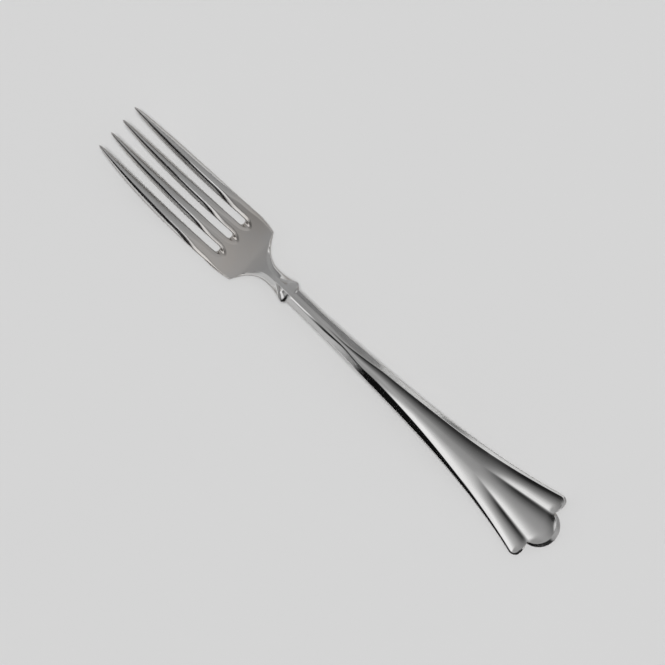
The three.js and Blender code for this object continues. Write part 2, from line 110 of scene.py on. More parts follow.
EDGE = 0.45  # softened edge at the heel
ROOT_ROUND = 1.2  # softened edges of the slots and of the head beside them
RAMP_ROUND = 0.5  # softened edge at the top of a slot's sloped end
FAN_ROUND = 1.3  # rounding under the fan's edge

# Heights and depths
TIP_RISE = 10.5
CROWN_RISE = 8.0
END_RISE = 0.4
TIP_THICK = 0.5
PLATE = 1.9
STEM_THICK = 4.0
FAN_THICK = 1.85
SPUR_DROP = 1.64
SCOOP_DROP = (0.42, 0.92)  # of the scooped faces' feet, at their start and end
HOLLOW_DEPTH = (0.75, 1.05)  # on the shank and on the fan
SIDE_DEPTH = 0.76
RIDGE_DROP = (0.4, 0.15)  # where the flutes begin and at their ends
PALM_DISH = 0.55
WEAR = 0.06

# Slopes, as rise over run
STEM_SLOPE = 0.95
BEVEL_SLOPE = 0.42  # of the narrow bevel beside the stem's crest
FAN_SLOPE = 0.8
HOLLOW_STEEP = 0.27  # most of the hollow's depth over its half width
DOME_STEEP = 1.1  # height of a tine's domed top, over its half width

# Powers of the curves
TAPER_POWERS = (0.75, 2.4)  # of a tine's width
TIP_POWER = 2.2  # of a tine's line
DOME_POWER = 1.7  # of a tine's cross section
BEVEL_POWER = 1.15  # of the bevel along a slot
ROUND_POWER = 16  # of the tight round below that bevel
RAMP_POWER = 0.8  # of a slot's sloped end, seen from above
HEEL_POWER = 2.7
SPUR_POWER = 1.8
FLARE_POWER = 3.2
FLANK_POWER = 1.2
CHANNEL_POWER = (2.0, 2.6)  # of the hollow's cross section, at its start and on the fan
FLUTE_POWER = (2.0, 3.3)  # of the middle flute, at its start and end
SIDE_POWER = (2.0, 3.0, 2.4)  # of the side flutes: at their start, and at their end by ridge and rim
WALL_POWER = 2.4  # of the walls at the flutes' ends
PULL_POWER = 6  # how late the fan's columns are drawn to their ends

# Shares
TIP_SWING = 2.4  # the larger, the further the tines sway left before they turn right
THIN_SHARE = 0.5  # of a tine that is thinner than the palm
DOME_END = 0.72  # of a tine, after which its dome flattens
DOME_FADE = 0.22  # of a tine, over which it does
DOME_LIMIT = 0.82  # most of a tine's thickness that its dome takes
DOME_SOFT = 0.92  # of a tine's half width that its wall takes
SLOT_BEVEL = 0.28  # of a wall's height that its bevel takes
PARTING = 0.3  # of the thickness, up to the widest line
EDGE_PARTING = 0.5  # the same at the heel's corners
SCOOP_FOOT = 0.52  # of a spur's half width, out to the foot of its scooped face
SCOOP_REAR = 0.965  # of the same, out to the rear edge of its top
BEVEL_SHARE = (0.25, 0.12)  # the bevel's, of the flank's width, on stem and shank
STEM_ROUND = 0.9  # of the stem's half width that the rounding under it takes
FAN_ROUND_RATE = 1.25  # how soon that rounding turns into the fan's
FLARE_SHARE = 0.7  # of the handle's widening that comes from its late flare
RIDGE_SHARE = 0.25  # of the half width between the rims, where the ridges begin
RIDGE_LIMIT = 0.98  # most of that half width


def mix(a, b, t):
    """The value a share t of the way from a to b."""
    return a + (b - a) * t


def smooth(t):
    """An even S curve from 0 to 1, level at both ends."""
    t = np.clip(t, 0, 1)
    return t * t * (3 - 2 * t)


def eased_in(t):
    """A softer S curve from 0 to 1, level and straight at both ends."""
    t = np.clip(t, 0, 1)
    return t**3 * (10 - 15 * t + 6 * t * t)


def between(x, start, end):
    """Share of the way from one station to another, kept from 0 to 1."""
    return np.clip((x - start) / (end - start), 0, 1)


def crowded(steps, share):
    """Even steps from 0 to 1, moved by a share towards an S curve, so that they lie closer at both ends."""
    t = np.linspace(0, 1, steps + 1)
    return mix(t, smooth(t), share)


# Columns across a section and rows along the regions
FLUTE_COLUMNS = 16  # on half the middle flute
SIDE_COLUMNS = 16  # on a side flute
FLANK_COLUMNS = 7  # on each of the flank's four bands
BACK_COLUMNS = 12  # on the rounding under an edge
BAND_COLUMNS = 8  # on the flat band of a tine's root
WALL_COLUMNS = 10  # on the upper and on the lower half of a tine's wall
END_COLUMNS = 16  # round a slot's end
TINE_ROWS, PALM_ROWS = 90, 44
NECK_ROWS, STEM_ROWS, SHANK_ROWS, FAN_ROWS = 130, 30, 130, 100
CORNER_ROWS = 16  # of the fan's rows, round the corner of a side lobe
LOBE_ROWS = 14  # of the fan's rows, rounded with the lobes' rim
TIP_CROWDING = 1.6  # power that draws a tine's rows to its tip
NECK_CROWDING = 1.15  # power that draws the neck's rows to the heel
EDGE_PASSES, LOBE_PASSES = 8, 5  # rounding of the handle's edges and of the lobes' rim
MIRROR = np.array([1, -1, 1])  # turns a right side into a left one
LAST_TURN = 1.45  # turn of the middle lobe's edge from its end to a notch
WALL_TURNS = np.linspace(np.pi / 2, -np.pi / 2, 2 * WALL_COLUMNS + 1)
BACK_TURNS = np.linspace(0, np.pi / 2, BACK_COLUMNS + 1)[1:]
SIDE_STEPS = crowded(SIDE_COLUMNS, 0.7)[1:]
FLANK_STEPS = crowded(FLANK_COLUMNS, 0.6)[1:]
LOBE_TURNS = np.linspace(0, LAST_TURN, FLUTE_COLUMNS + 1)
FLUTE_STEPS = np.sin(LOBE_TURNS) / np.sin(LAST_TURN)
TOP_COLUMNS = 2 * (FLUTE_COLUMNS + SIDE_COLUMNS) + 1


def keel(x):
    """Height of the underside's middle line: a parabola up to the tips, an S curve up to the crown and
    another down to the fan, then a shallow parabola up to the fan's end."""
    head = TIP_RISE * ((BELLY - x) / BELLY) ** 2
    rise = CROWN_RISE * smooth(between(x, BELLY, CROWN))
    fall = CROWN_RISE * smooth(between(x, REST, CROWN))
    tail = END_RISE * ((x - REST) / (END - REST)) ** 2
    return np.select([x < BELLY, x < CROWN, x < REST], [head, rise, fall], tail)


def dish(x, y):
    """Depth of the palm's dish: a parabola across it, which runs out along the tines and to the waist."""
    run = smooth(x / ROOT) * eased_in(between(x, WAIST, ROOT))
    return PALM_DISH * run * np.clip(1 - (y / PALM_HALF) ** 2, 0, 1)


def fan_share(x):
    """Share of the way from the start of the hollow to the notches."""
    return between(x, HOLLOW, NOTCH)


def head_edge(x):
    """Half width of the head: straight from the tips to the widest place, then drawn in as a square."""
    front = mix(TIP_EDGE, PALM_HALF, x / WIDEST)
    rear = mix(PALM_HALF, HEEL_HALF, between(x, WIDEST, CORNER) ** 2)
    return np.where(x < WIDEST, front, rear)


def outline(x):
    """Half width behind the heel: a hollow power curve to the waist, a flare to the spurs, a short return to
    the stem, then a slow widening plus a late flare along the handle."""
    heel = mix(WAIST_HALF, HEEL_HALF, between(x, WAIST, CORNER) ** HEEL_POWER)
    spur = mix(WAIST_HALF, SPUR_HALF, between(x, WAIST, SPUR_TIP) ** SPUR_POWER)
    back = mix(SPUR_HALF, STEM_HALF, between(x, SPUR_TIP, STEM))
    t = fan_share(x)
    handle = mix(STEM_HALF, FAN_HALF, mix(t, t**FLARE_POWER, FLARE_SHARE))
    return np.select([x < WAIST, x < SPUR_TIP, x < STEM], [heel, spur, back], handle)


def facet(x):
    """Half width of the flat top up to the spur tips: the outline's hollow curve, then an S curve."""
    heel = mix(WAIST_FACET, HEEL_HALF - EDGE, between(x, WAIST, CORNER) ** HEEL_POWER)
    spur = mix(WAIST_FACET, SPUR_HALF, smooth(between(x, WAIST, SPUR_TIP)))
    return np.where(x < WAIST, heel, spur)


def late_opening(x):
    """Extra width of the flanks, so that the hollow's rims part late: an S curve up and another down."""
    return LATE_OPENING * smooth((x - HOLLOW) / RIMS_WAIT) * (1 - smooth((x - RIMS_PART) / RIMS_WAIT))


def flank_run(x):
    """Width of the handle's outer flank: a power curve from the stem to the fan, plus the late opening."""
    return mix(STEM_HALF - CREST_HALF, RIM_FLANK, fan_share(x) ** FLANK_POWER) + late_opening(x)


def crest(x):
    """Half width between the two crests: the ridge's flat top, then the rims of the hollow."""
    neck = facet(x) * CREST_HALF / WAIST_FACET
    handle = outline(x) - flank_run(x)
    return np.select([x < WAIST, x < STEM], [neck, np.full_like(x, CREST_HALF)], handle)


# Height of the stem's flanks, over the bevel and the slope below it
STEM_RISE = (STEM_HALF - CREST_HALF) * mix(STEM_SLOPE, BEVEL_SLOPE, BEVEL_SHARE[0])


def flank_slopes(x):
    """Slopes of the bevel beside the crest and of the flank below it, which become one on the shank."""
    low = mix(STEM_SLOPE, FAN_SLOPE, smooth((x - FLATTER) / FLANKS_FLATTEN))
    return mix(BEVEL_SLOPE, low, smooth((x - HOLLOW) / BEVEL_FADES)), low


def bevel_share(x):
    """Share of the flank's width that the bevel takes; it narrows where the hollow begins."""
    return mix(*BEVEL_SHARE, smooth((x - HOLLOW) / HOLLOW_FILLS))


def flank_drop(x, off, run):
    """How far the flank lies below the crest, at a distance off from it: two straight slopes."""
    bevel, low = flank_slopes(x)
    wide = run * bevel_share(x)
    return bevel * np.minimum(off, wide) + low * np.maximum(0, off - wide)


def flank_rise(x):
    """Height of the flanks from the outline up to the crests."""
    heel = mix(STEM_RISE, PLATE / 2, eased_in(between(x, WAIST, CORNER)))
    handle = flank_drop(x, flank_run(x), flank_run(x))
    return np.select([x < WAIST, x < STEM], [heel, np.full_like(x, STEM_RISE)], handle)


def edge_rise(x):
    """Height of the outline above the underside's middle line."""
    stem = STEM_THICK - STEM_RISE
    fan = FAN_THICK - RIM_FLANK * FAN_SLOPE
    heel = mix(stem, PLATE / 2, eased_in(between(x, WAIST, CORNER)))
    handle = mix(stem, fan, smooth(fan_share(x))) - STEM_SLOPE * late_opening(x)
    return np.where(x < WAIST, heel, handle)


def back_round(x):
    """Width of the rounding under each edge: narrow at the heel, most of the half width under the stem,
    narrow again under the fan."""
    stem = STEM_ROUND * outline(x)
    heel = mix(EDGE, stem, smooth(between(x, CORNER, WAIST)))
    handle = mix(stem, FAN_ROUND, smooth(fan_share(x) * FAN_ROUND_RATE))
    return np.where(x < WAIST, heel, handle)


def rested(z, rise):
    """Heights lowered by the wear on the underside and cut level at the table; rise is 0 on the underside
    and 1 at the edge."""
    return np.maximum(0, z - WEAR * (1 - rise))


def ridge(x):
    """Half spacing of the two ridges between the flutes: a share of the hollow, then a straight spread."""
    start = crest(np.array([FLUTES]))[0] * RIDGE_SHARE
    after = mix(start, RIDGE_END, between(x, FLUTES, RIDGE_STOP))
    return np.where(x < FLUTES, crest(x) * RIDGE_SHARE, after)


def hollow_depth(x, y, c, r):
    """Depth below the rims: one power curve from rim to rim, which parts into a middle curve and two side
    curves with ridges between them. All begin as parabolas and fill out along the fork, and a side flute is
    fuller beside its ridge than beside the rim."""
    deep = mix(*HOLLOW_DEPTH, smooth(between(x, DEEPER, FLUTES)))
    deep = smooth((x - HOLLOW) / HOLLOW_FILLS) * np.minimum(deep, HOLLOW_STEEP * c)
    channel = deep * (1 - (y / c) ** mix(*CHANNEL_POWER, smooth((x - FULLER) / HOLLOW_FILLS_OUT)))
    parted = smooth((x - FLUTES) / FLUTES_PART)
    late = smooth(between(x, FLUTES, NOTCH))
    drop = mix(*RIDGE_DROP, late)
    middle = drop + (deep - drop) * (1 - np.abs(y / r) ** mix(*FLUTE_POWER, late))
    across = np.clip((y - r) / (c - r), 0, 1)
    first, by_ridge, by_rim = SIDE_POWER
    power = mix(first, np.where(across < 0.5, by_ridge, by_rim), late)
    side = drop * (1 - across) + SIDE_DEPTH * (1 - np.abs(2 * across - 1) ** power)
    return mix(channel, np.where(y > r, side, middle), parted) * (x > HOLLOW)


def half_top(c, r):
    """Distances from the middle of the top's columns: across half the middle flute, then the side flute."""
    return np.concatenate([r * FLUTE_STEPS, r + (c - r) * SIDE_STEPS], axis=1)


def both(y, z, x):
    """A right half, from the middle outwards, mirrored into a whole row from left to right."""
    half = np.stack([x, y, z], axis=2)
    return np.concatenate([half[:, :0:-1] * MIRROR, half], axis=1)


def flank_points(x):
    """The three turning lines on the flank, as widths and heights. On the heel they lie on the flat top, on
    the spurs they are the foot of the scooped face, its rear edge and the spur's outer edge, and behind them
    the first is the bevel's foot and the others lie evenly on the straight flank."""
    c, w, f = crest(x), outline(x), facet(np.minimum(x, SPUR_TIP))
    top = keel(x) + edge_rise(x) + flank_rise(x)
    f_scoop = facet(np.full_like(x, SCOOP))
    along = between(x, SCOOP, SPUR_TIP)
    gone = between(x, SPUR_TIP, STEM)
    spur_top = top - SPUR_DROP * between(x, WAIST, SPUR_TIP) ** 2
    opened = smooth((x - SCOOP + SCOOP_LEAD) / SCOOP_SINKS)
    ys, zs = [], []
    for k, last in enumerate([SCOOP_FOOT, SCOOP_REAR, 1]):
        inner = (k + 1) / 3
        plain = mix(c, f, inner)
        spur = mix(mix(c, f_scoop, inner), last * f, along) if k < 2 else f
        flank = mix(c, w, bevel_share(x) if k == 0 else (k + 1) / 4)
        y = np.where(x < SCOOP, plain, mix(spur, flank, gone))
        on_flank = top - flank_drop(x, np.clip(y - c, 0, STEM_HALF - c), STEM_HALF - c)
        scooped = mix(top - mix(*SCOOP_DROP, along), on_flank, gone)
        z = mix(spur_top, scooped, opened) if k == 0 else mix(spur_top, on_flank, gone)
        behind = top - flank_drop(x, flank - c, w - c)
        ys.append(np.where(x < STEM, y, flank))
        zs.append(np.select([x < WAIST, x < STEM], [top - dish(x, y), z], behind))
    return ys, zs


def side_columns(x):
    """The right side from the crest to the underside: four bands of the flank, the last one rounded at the
    heel and straight behind it, then a quarter of an ellipse under the edge."""
    c, w = crest(x), outline(x)
    edge = keel(x) + edge_rise(x)
    top = edge + flank_rise(x)
    ys, zs = flank_points(x)
    ys, zs = [c, *ys, w], [top - dish(x, c), *zs, edge]
    t = FLANK_STEPS
    y_rows, z_rows = [], []
    for k in range(4):
        y = mix(ys[k], ys[k + 1], t)
        z = np.where((x < WAIST) & (k < 3), top - dish(x, y), mix(zs[k], zs[k + 1], t))
        if k == 3:
            straight = smooth((x - CORNER) / EDGE_STRAIGHTENS)
            y = mix(ys[k] + (ys[k + 1] - ys[k]) * np.sin(t * np.pi / 2), y, straight)
            z = mix(zs[k + 1] + (zs[k] - zs[k + 1]) * np.cos(t * np.pi / 2), z, straight)
        y_rows.append(y)
        z_rows.append(z)
    turn = BACK_TURNS
    y_rows.append(w - back_round(x) * (1 - np.cos(turn)))
    z_rows.append(rested(edge - edge_rise(x) * np.sin(turn), 1 - np.sin(turn)))
    return np.concatenate(y_rows, axis=1), np.concatenate(z_rows, axis=1)


def ring_rows(top, side, under):
    """A closed ring for each station: the top from left to right, the right side down, the underside back to
    the left, and the left side up."""
    left = side[:, ::-1] * MIRROR
    return np.concatenate([top, side, under[:, ::-1][:, 1:-1], left], axis=1)


def handle_rows(stations):
    """Rings of the neck, stem and shank at the given stations; the shank's rings lean to the right, more so
    the higher a point lies above the outline."""
    x = stations[:, None]
    c, r = crest(x), ridge(x)
    y = half_top(c, r)
    z = keel(x) + edge_rise(x) + flank_rise(x) - hollow_depth(x, y, c, r) - dish(x, y)
    xs = x + np.zeros_like(y)
    top = both(y, z, xs)
    side_y, side_z = side_columns(x)
    side = np.stack([x + np.zeros_like(side_y), side_y, side_z], axis=2)
    flat = y / c * (outline(x) - back_round(x))
    under = both(flat, rested(keel(x), 0) + np.zeros_like(flat), xs)
    rings = ring_rows(top, side, under)
    above = np.clip((rings[..., 2] - keel(x) - edge_rise(x)) / flank_rise(x), 0, 1)
    aside = smooth((x - ASIDE) / CRESTS_LEAVE) * smooth((FLUTES - x) / CRESTS_RETURN)
    rings[..., 1] += CREST_SHIFT * above * aside
    return rings


def fan_side(rows):
    """The crest and the outline along one side of the fan: straight stations up to the lobe's corner, then a
    quarter round of the crest and a wider one of the outline about the same centre."""
    x = np.linspace(FLUTES, CORNER_START, rows - CORNER_ROWS + 1)
    c, w = crest(x), outline(x)
    lean = np.arctan((c[-1] - c[-2]) / (x[-1] - x[-2]))
    turn = np.linspace(np.pi / 2 + lean, 0, CORNER_ROWS + 1)
    centre = np.array([x[-1], c[-1]]) - CORNER_ROUND * np.array([np.cos(turn[0]), np.sin(turn[0])])
    normal = np.stack([np.cos(turn), np.sin(turn)], axis=1)
    band = mix(w[-1] - c[-1], SIDE_END_FLANK, smooth(np.linspace(0, 1, CORNER_ROWS + 1)))[:, None]
    inner = np.concatenate([np.stack([x, c], axis=1), (centre + CORNER_ROUND * normal)[1:]])
    outer = np.concatenate([np.stack([x, w], axis=1), (centre + (CORNER_ROUND + band) * normal)[1:]])
    return inner, outer


def fan_ends(corner_crest, corner_outline):
    """Where each column of the right half ends, on the crest and on the outline: part of an ellipse and of a
    circle round the middle lobe, then a shallow bow from the notch to the side lobe's rounded corner."""
    ahead, aside = np.cos(LOBE_TURNS), np.sin(LOBE_TURNS)
    lobe = np.stack([LOBE_CENTRE + LOBE_CREST[0] * ahead, LOBE_CREST[1] * aside], axis=1)
    round_end = np.stack([LOBE_CENTRE + LOBE_OUTLINE * ahead, LOBE_OUTLINE * aside], axis=1)
    t = SIDE_STEPS[:, None]
    bow = np.concatenate([SIDE_BULGE * 4 * t * (1 - t), np.zeros_like(t)], axis=1)
    inner = np.concatenate([lobe, mix(lobe[-1], corner_crest, t) + bow])
    outer = np.concatenate([round_end, mix(round_end[-1], corner_outline, t) + bow])
    return inner, outer


def fan_height(x):
    """Height of the rim's crest above the table."""
    station = np.minimum(x, NOTCH)
    return keel(x) + edge_rise(station) + flank_rise(station)


def rim_profile(inner, outer, inset):
    """The rim's profile carried along the crest: a straight flank from crest to outline, then a quarter of an
    ellipse under it, running back in by the inset."""
    bands = np.concatenate([(k + FLANK_STEPS) / 4 for k in range(4)])[:, None]
    turn = BACK_TURNS[:, None]
    inward = inner - outer
    inward = inward / np.linalg.norm(inward, axis=1, keepdims=True)
    flank = mix(inner[:, None], outer[:, None], bands)
    top = fan_height(inner[:, :1])
    edge = top - FAN_SLOPE * np.linalg.norm(outer - inner, axis=1, keepdims=True)
    flank_z = mix(top[:, None], edge[:, None], bands)
    below = outer[:, None] + (inward * inset)[:, None] * (1 - np.cos(turn))
    low = keel(below[..., :1])
    below_z = rested(mix(edge[:, None], low, np.sin(turn)), 1 - np.sin(turn))
    upper = np.concatenate([flank, flank_z], axis=2)
    lower = np.concatenate([below, below_z], axis=2)
    return np.concatenate([upper, lower], axis=1)


def fan_rows(rows):
    """Rings of the fan, whose columns run from the start of the flutes to their own ends, where each flute
    rises to the rim on a power curve, and the profile that closes the scalloped end."""
    side_crest, side_outline = fan_side(rows)
    crest_ends, outline_ends = fan_ends(side_crest[-1], side_outline[-1])
    share = ((side_crest[:, 0] - FLUTES) / (side_crest[-1, 0] - FLUTES))[:, None]
    x = FLUTES + share * (crest_ends[:, 0] - FLUTES)
    c = side_crest[:, 1:]
    r = np.minimum(ridge(FLUTES + share * (crest_ends[FLUTE_COLUMNS, 0] - FLUTES)), RIDGE_LIMIT * c)
    even = half_top(c, r)
    y = even + (crest_ends[:, 1] - even[-1]) * share**PULL_POWER
    depth = hollow_depth(np.minimum(x, NOTCH), y, np.maximum(c, y[:, -1:]), r)
    long, short = END_WALL
    span = np.concatenate([mix(short, long, np.cos(LOBE_TURNS)), np.full(SIDE_COLUMNS, short)])
    wall = np.clip(1 - (crest_ends[:, 0] - x) / span, 0, 1) ** WALL_POWER
    top = both(y, fan_height(x) - depth * (1 - wall), x)
    inset = back_round(np.minimum(side_crest[:, :1], NOTCH))
    side = rim_profile(side_crest, side_outline, inset)
    end_half = rim_profile(crest_ends, outline_ends, inset[-1:] + np.zeros((len(crest_ends), 1)))
    edge_path, edge_end = side[:, -1], end_half[:, -1]
    low_share = ((edge_path[:, 0] - FLUTES) / (edge_path[-1, 0] - FLUTES))[:, None]
    low_x = FLUTES + low_share * (edge_end[:, 0] - FLUTES)
    low_y = edge_path[:, 1:2] * (even / c)
    low_y = low_y + (edge_end[:, 1] - low_y[-1]) * low_share**PULL_POWER
    under = both(low_y, rested(keel(low_x), 0), low_x)
    end_left = end_half[:0:-1] * MIRROR
    return ring_rows(top, side, under), np.concatenate([end_left, end_half])


def bevelled(turn):
    """Height of a wall with a bevelled top edge, for a turn from level to upright: a nearly straight fall by
    the bevel's share, then a tight round."""
    out = np.cos(turn)
    tight = 1 - np.sqrt(np.maximum(0, 1 - out**ROUND_POWER))
    return 1 - SLOT_BEVEL * out**BEVEL_POWER - (1 - SLOT_BEVEL) * tight


def wall_profile():
    """The rounded wall from the top's edge round to the underside's edge: how far in it lies and how high, as
    shares of the rounding and of the thickness."""
    turn = WALL_TURNS
    height = np.where(turn > 0, PARTING + (1 - PARTING) * bevelled(turn), PARTING * (1 + np.sin(turn)))
    return 1 - np.cos(turn), height


def dome_foot(half, thick):
    """Height at which a tine's domed top meets its wall, as a share of its thickness: the dome's height goes
    with the tine's half width, up to a limit."""
    return 1 - np.minimum(DOME_LIMIT, DOME_STEEP * half / thick)


def plate_height(x, y, height, thick):
    """Height above the table of a share of the plate's thickness."""
    return rested(keel(x) + thick * height - dish(x, y) * height, np.minimum(1, height / PARTING))


def root_edges(number):
    """Left and right edge of a tine's root: the walls of the slots beside it, or the edge of the head."""
    edge = head_edge(np.array(ROOT))
    left = np.concatenate([[-edge], SLOT_LINES + SLOT_HALF])
    right = np.concatenate([SLOT_LINES - SLOT_HALF, [edge]])
    return left[number], right[number]


def tine_rows(number, stations):
    """Rings of one tine, on a line that turns aside to the tip: the section's top is a power curve about as
    high as its half width, which flattens into the palm's plate with its bevelled walls at the root."""
    x = stations[:, None]
    along = x / ROOT
    left, right = root_edges(number)
    half = mix(TIP_HALF, (right - left) / 2, 1 - (1 - along ** TAPER_POWERS[0]) ** TAPER_POWERS[1])
    sway = TIP_SKEW * (1 - along) * (1 - TIP_SWING * along)
    line = mix((left + right) / 2, TIP_LINES[number], (1 - along) ** TIP_POWER) + sway
    thick = mix(TIP_THICK, PLATE, np.sqrt(np.minimum(1, along / THIN_SHARE)))
    flat = smooth((along - DOME_END) / DOME_FADE)
    soft = mix(DOME_SOFT * half, ROOT_ROUND, flat)
    inset, height = wall_profile()
    high = height > PARTING
    band = np.linspace(-1, 1, BAND_COLUMNS + 1)[1:-1]
    top_off = (half - soft) * band
    right_off = half - soft * inset
    off = np.concatenate([top_off, right_off, top_off[:, ::-1], -right_off[:, ::-1]], axis=1)
    level = np.concatenate([np.ones_like(band), height, np.zeros_like(band), height[::-1]])
    above = np.concatenate([np.ones_like(band), high, np.zeros_like(band), high[::-1]])
    foot = dome_foot(half, thick)
    dome = 1 - (1 - foot) * np.abs(off / half) ** DOME_POWER
    below = level * mix(foot, PARTING, flat) / PARTING
    level = np.where(above > 0, mix(dome, level, flat), below)
    xs = x + np.zeros_like(off)
    return np.stack([xs, line + off, plate_height(xs, line + off, level, thick)], axis=2)


def slot_end(number):
    """The round end of a slot: the tine's wall turned half round the slot's line, with a tighter top edge
    straight ahead, and drawn out towards the heel in step with its height, as a ramp."""
    inset, height = wall_profile()
    turn = np.linspace(-np.pi / 2, np.pi / 2, END_COLUMNS + 1)[:, None]
    ahead = np.maximum(0, np.cos(turn))
    reach = SLOT_HALF + mix(ROOT_ROUND, RAMP_ROUND, ahead**2) * inset
    x = ROOT + reach * ahead + RAMP * height * ahead**RAMP_POWER
    y = SLOT_LINES[number] + reach * np.sin(turn)
    return np.stack([x, y, plate_height(x, y, height, PLATE)], axis=2)


def palm_share(x):
    """Share of the way from the tines' roots to the heel's corners."""
    return between(x, ROOT, CORNER)


def palm_inner(x):
    """Half width of the palm between its two rounded edges."""
    return head_edge(x) - mix(ROOT_ROUND, EDGE, palm_share(x))


def palm_front(at):
    """Where the palm's columns start: on the flat band of each tine's root and round each slot's end."""
    starts = []
    for n in range(4):
        left, right = root_edges(n)
        band = np.linspace(left + ROOT_ROUND, right - ROOT_ROUND, BAND_COLUMNS + 1)
        starts.append(np.stack([np.full_like(band, ROOT), band], axis=1))
        if n < 3:
            starts.append(slot_end(n)[1:-1, at, :2])
    return np.concatenate(starts).T


def palm_sheet(at, level, rows):
    """The palm's top or underside: each column runs to the heel and keeps its share of the width."""
    start_x, start_y = palm_front(at)
    x = mix(start_x, CORNER, np.linspace(0, 1, rows + 1)[:, None])
    y = start_y / palm_inner(start_x) * palm_inner(x)
    return np.stack([x, y, plate_height(x, y, np.full_like(x, level), PLATE)], axis=2)


def palm_rows(rows):
    """Rings of the palm: the top, the right edge, the underside and the left edge. The edges turn from the
    slots' bevelled wall into a plain round on the way to the heel."""
    x = np.linspace(ROOT, CORNER, rows + 1)[:, None]
    turn = WALL_TURNS[1:-1]
    parting = mix(PARTING, EDGE_PARTING, palm_share(x))
    edge_round = mix(bevelled(turn), np.sin(turn), palm_share(x))
    height = np.where(turn > 0, parting + (1 - parting) * edge_round, parting * (1 + np.sin(turn)))
    y = mix(palm_inner(x), head_edge(x), np.cos(turn))
    xs = x + np.zeros_like(y)
    z = rested(keel(xs) + (PLATE - dish(xs, y)) * height, np.minimum(1, height / parting))
    right = np.stack([xs, y, z], axis=2)
    left = right[:, ::-1] * MIRROR
    top, under = palm_sheet(0, 1.0, rows), palm_sheet(-1, 0.0, rows)
    return np.concatenate([top, right, under[:, ::-1], left], axis=1)


def grid_quads(index):
    """Quads of an open grid of vertex numbers, row by row."""
    quads = np.stack([index[:-1, :-1], index[1:, :-1], index[1:, 1:], index[:-1, 1:]], axis=2)
    return quads.reshape(-1, 4)


def loop_quads(index):
    """Quads of a grid whose rows are closed rings."""
    return grid_quads(np.concatenate([index, index[:, :1]], axis=1))


def soften(points, index, passes, weight):
    """Rounds the edges that cross the rows of an index grid: in each pass a vertex moves towards the mean of
    its two neighbours in the row, halfway where the weight is 1."""
    for _ in range(passes):
        row = points[index]
        mean = (row[:, :-2] + row[:, 2:]) / 2
        points[index[:, 1:-1]] = mix(row[:, 1:-1], mean, weight / 2)


def handle_skin():
    """One skin from the heel's corners to the fan's end, as points, an index grid of rings and the index grid
    of the profile round the lobes, with all edges across both grids rounded."""
    neck = CORNER + (STEM - CORNER) * np.linspace(0, 1, NECK_ROWS + 1) ** NECK_CROWDING
    stem = np.linspace(STEM, HOLLOW, STEM_ROWS + 1)[1:]
    shank = np.linspace(HOLLOW, FLUTES, SHANK_ROWS + 1)[1:]
    fan, close = fan_rows(FAN_ROWS)
    rings = np.concatenate([handle_rows(np.concatenate([neck, stem, shank])), fan[1:]])
    count, size = rings.shape[:2]
    columns, profile = close.shape[:2]
    points = np.concatenate([rings.reshape(-1, 3), close[1:-1, :-1].reshape(-1, 3)])
    index = np.arange(count * size).reshape(count, size)
    right = index[:, TOP_COLUMNS : TOP_COLUMNS + profile]
    left = index[:, ::-1][:, :profile]
    under = index[:, TOP_COLUMNS + profile : -profile][:, ::-1]
    lobes = np.empty((profile + 1, columns), int)
    lobes[0] = index[-1, :TOP_COLUMNS]
    lobes[1:, 0] = left[-1]
    lobes[1:, -1] = right[-1]
    lobes[1:-1, 1:-1] = count * size + np.arange((columns - 2) * (profile - 1)).reshape(columns - 2, -1).T
    lobes[-1, 1:-1] = under[-1]
    grown = smooth((rings[:, :1, :1] - CORNER) / SOFTNESS_GROWS)
    soften(points, np.concatenate([index, index[:, :2]], axis=1), EDGE_PASSES, grown)
    flat = np.concatenate([left[:, -1:], under, right[:, -1:]], axis=1)
    last = slice(-LOBE_ROWS, -1)
    over = np.concatenate([index[last, :TOP_COLUMNS], lobes, flat[last][::-1]])
    soften(points, over.T, LOBE_PASSES, 1.0)
    return points, index, lobes


def handle_regions():
    """The handle's skin divided at the stem's two ends and at the flutes, each region with the sections where
    it meets its neighbours."""
    points, index, lobes = handle_skin()
    ends = np.cumsum([0, NECK_ROWS, STEM_ROWS, SHANK_ROWS, FAN_ROWS])
    regions = {}
    for name, first, last in zip(["neck", "stem", "hollow_shank", "fan_end"], ends[:-1], ends[1:]):
        rings = index[first : last + 1]
        quads = loop_quads(rings)
        sections = [(rings[0], -1)]
        if name == "fan_end":
            quads = np.concatenate([quads, grid_quads(lobes)])
        else:
            sections.append((rings[-1][::-1], 1))
        regions[name] = (points, quads, sections, [])
    return regions


def tine_region(number):
    """One tine with its rounded tip: the last rings shrink to a pole as a quarter of an ellipse."""
    stations = ROOT * np.linspace(0, 1, TINE_ROWS + 1)[1:] ** TIP_CROWDING
    rings = tine_rows(number, stations)
    nose = np.sqrt(1 - (1 - np.clip(stations / NOSE, 0, 1)) ** 2)[:, None, None]
    middle = rings.mean(axis=1, keepdims=True)
    rings = middle + (rings - middle) * nose
    size = rings.shape[1]
    pole = len(stations) * size
    tip = np.array([[0, TIP_LINES[number] + TIP_SKEW, rings[0, :, 2].mean()]])
    points = np.concatenate([rings.reshape(-1, 3), tip])
    index = np.arange(pole).reshape(-1, size)
    fan = np.stack([np.full(size, pole), index[0], np.roll(index[0], -1)], axis=1)
    return points, loop_quads(index), [(index[-1][::-1], 1)], fan


